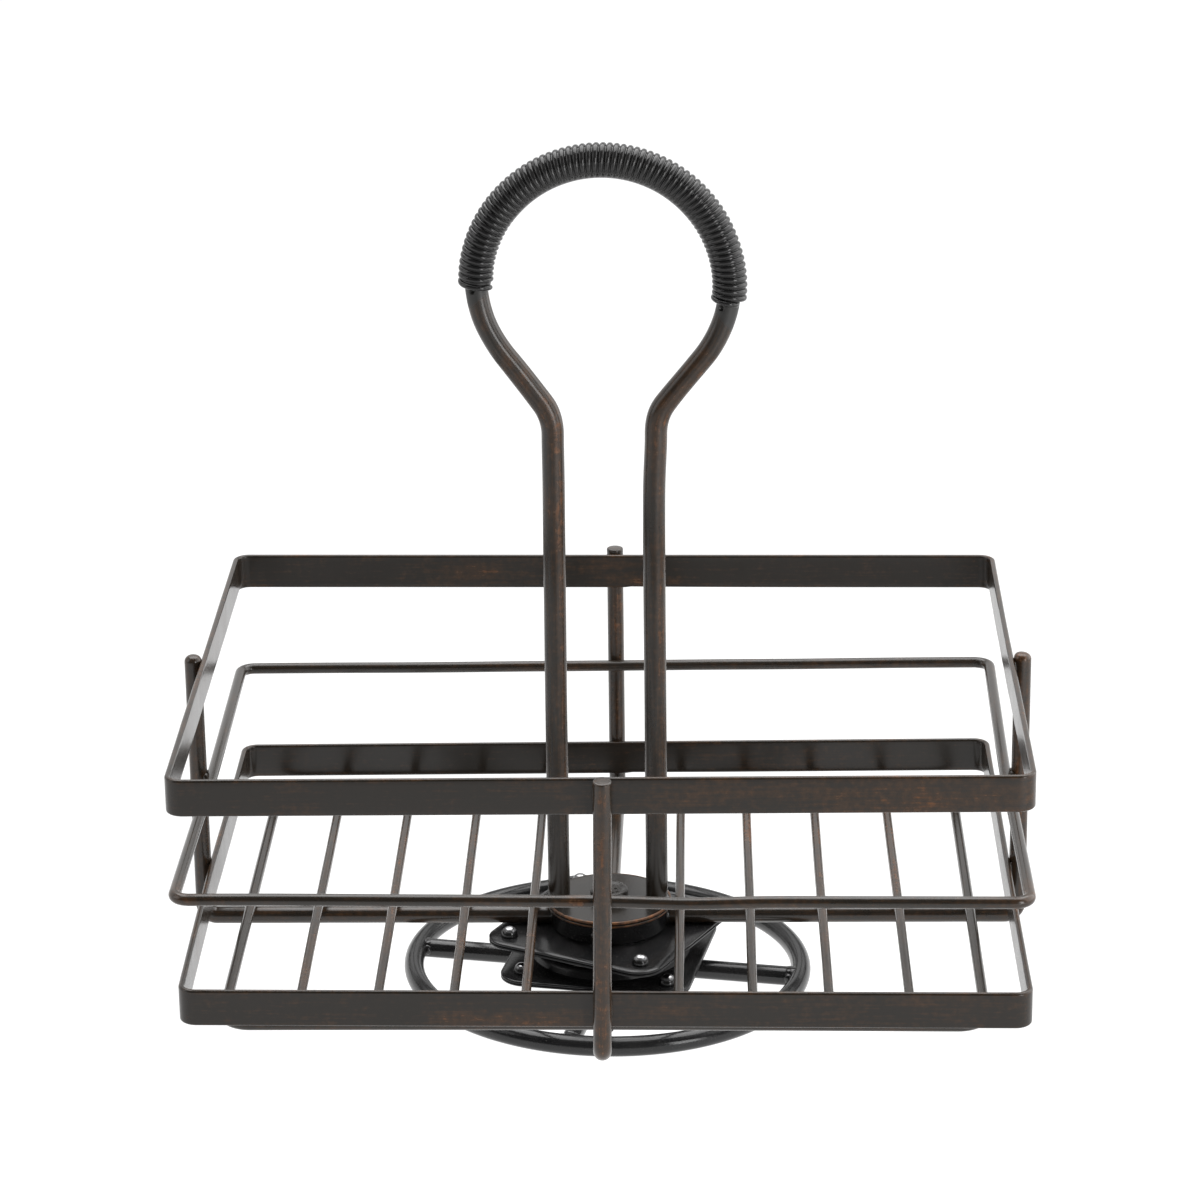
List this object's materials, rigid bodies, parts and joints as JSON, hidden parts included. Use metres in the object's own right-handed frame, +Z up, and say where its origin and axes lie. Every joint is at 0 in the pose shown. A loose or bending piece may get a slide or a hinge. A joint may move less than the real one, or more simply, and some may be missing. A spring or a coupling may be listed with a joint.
{
  "type": "rotating condiment caddy",
  "caption": "Wire tabletop caddy for condiments: a rectangular basket with a looped carrying handle that turns on a ball bearing over a round ring base.",
  "frame": {"origin": "on the table, on the axis that the basket turns about", "axes": "+Z up, X along the basket's long side, the front faces -Y"},
  "size_m": [0.3046, 0.2426, 0.3124],
  "materials": {
    "bronze": "oil-rubbed bronze, satin",
    "rubbed_bronze": "oil-rubbed bronze with the copper tone rubbed through, satin",
    "gloss_black": "gloss black",
    "satin_black": "satin black",
    "bright_steel": "bright"
  },
  "bodies": {
    "base": {"base_ring": "gloss_black", "base_bar_long": "gloss_black", "base_bar_front": "gloss_black", "base_bar_back": "gloss_black", "base_mounting_plate": "gloss_black", "bearing_lower_sheet": "gloss_black", "lower_rivet_1": "bright_steel", "lower_rivet_2": "bright_steel", "lower_rivet_3": "bright_steel", "lower_rivet_4": "bright_steel", "pivot_pin": "bronze"},
    "ball_race": {"ball_cage": "bright_steel", "ball_01": "bright_steel", "ball_02": "bright_steel", "ball_03": "bright_steel", "ball_04": "bright_steel", "ball_05": "bright_steel", "ball_06": "bright_steel", "ball_07": "bright_steel", "ball_08": "bright_steel", "ball_09": "bright_steel", "ball_10": "bright_steel", "ball_11": "bright_steel", "ball_12": "bright_steel"},
    "carrier": {"bearing_upper_sheet": "gloss_black", "bottom_band": "rubbed_bronze", "carrier_mounting_plate": "gloss_black", "floor_loop": "bronze", "floor_wire_1": "bronze", "floor_wire_2": "bronze", "floor_wire_3": "bronze", "floor_wire_4": "bronze", "floor_wire_5": "bronze", "floor_wire_6": "bronze", "floor_wire_7": "bronze", "floor_wire_8": "bronze", "handle_grip": "satin_black", "handle_rod": "bronze", "hub_disc": "rubbed_bronze", "hub_drum": "gloss_black", "middle_rail": "bronze", "top_band": "rubbed_bronze", "upper_rivet_1": "bright_steel", "upper_rivet_2": "bright_steel", "upper_rivet_3": "bright_steel", "upper_rivet_4": "bright_steel", "upright_back": "rubbed_bronze", "upright_front": "rubbed_bronze", "upright_left": "rubbed_bronze", "upright_right": "rubbed_bronze"}
  },
  "joints": [
    {"name": "turntable_spin", "type": "hinge", "parent": "base", "child": "carrier", "pos_m": [0, 0, 0.0134], "axis": [0, 0, 1], "continuous": true},
    {"name": "ball_orbit", "type": "hinge", "parent": "base", "child": "ball_race", "pos_m": [0, 0, 0.0134], "axis": [0, 0, 1], "continuous": true}
  ],
  "couplings": [
    {"joint": "ball_orbit", "follows": "turntable_spin", "ratio": 0.5}
  ]
}
